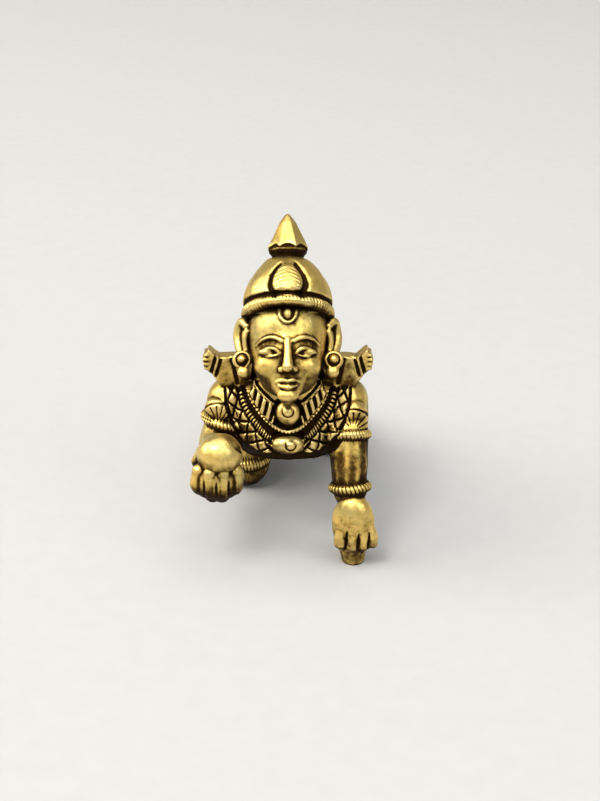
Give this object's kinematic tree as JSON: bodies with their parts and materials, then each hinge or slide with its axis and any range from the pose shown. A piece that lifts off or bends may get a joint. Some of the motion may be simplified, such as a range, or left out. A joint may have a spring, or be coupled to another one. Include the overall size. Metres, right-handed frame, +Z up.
{
  "type": "crawling child deity figurine",
  "caption": "Small solid-cast crawling child figure in a tall crown, one hand on the ground and a round sweet in the other.",
  "frame": {"origin": "middle of the footprint, in the plane of the filed patches the figure stands on", "axes": "+Z up; -Y the way the figure faces and crawls; +X towards its planted left hand"},
  "size_m": [0.0282, 0.0624, 0.051],
  "materials": {
    "brass": "cast and chased, dark in the recesses and worn bright on the high parts"
  },
  "bodies": {
    "root": {"idol": "brass"}
  },
  "joints": []
}
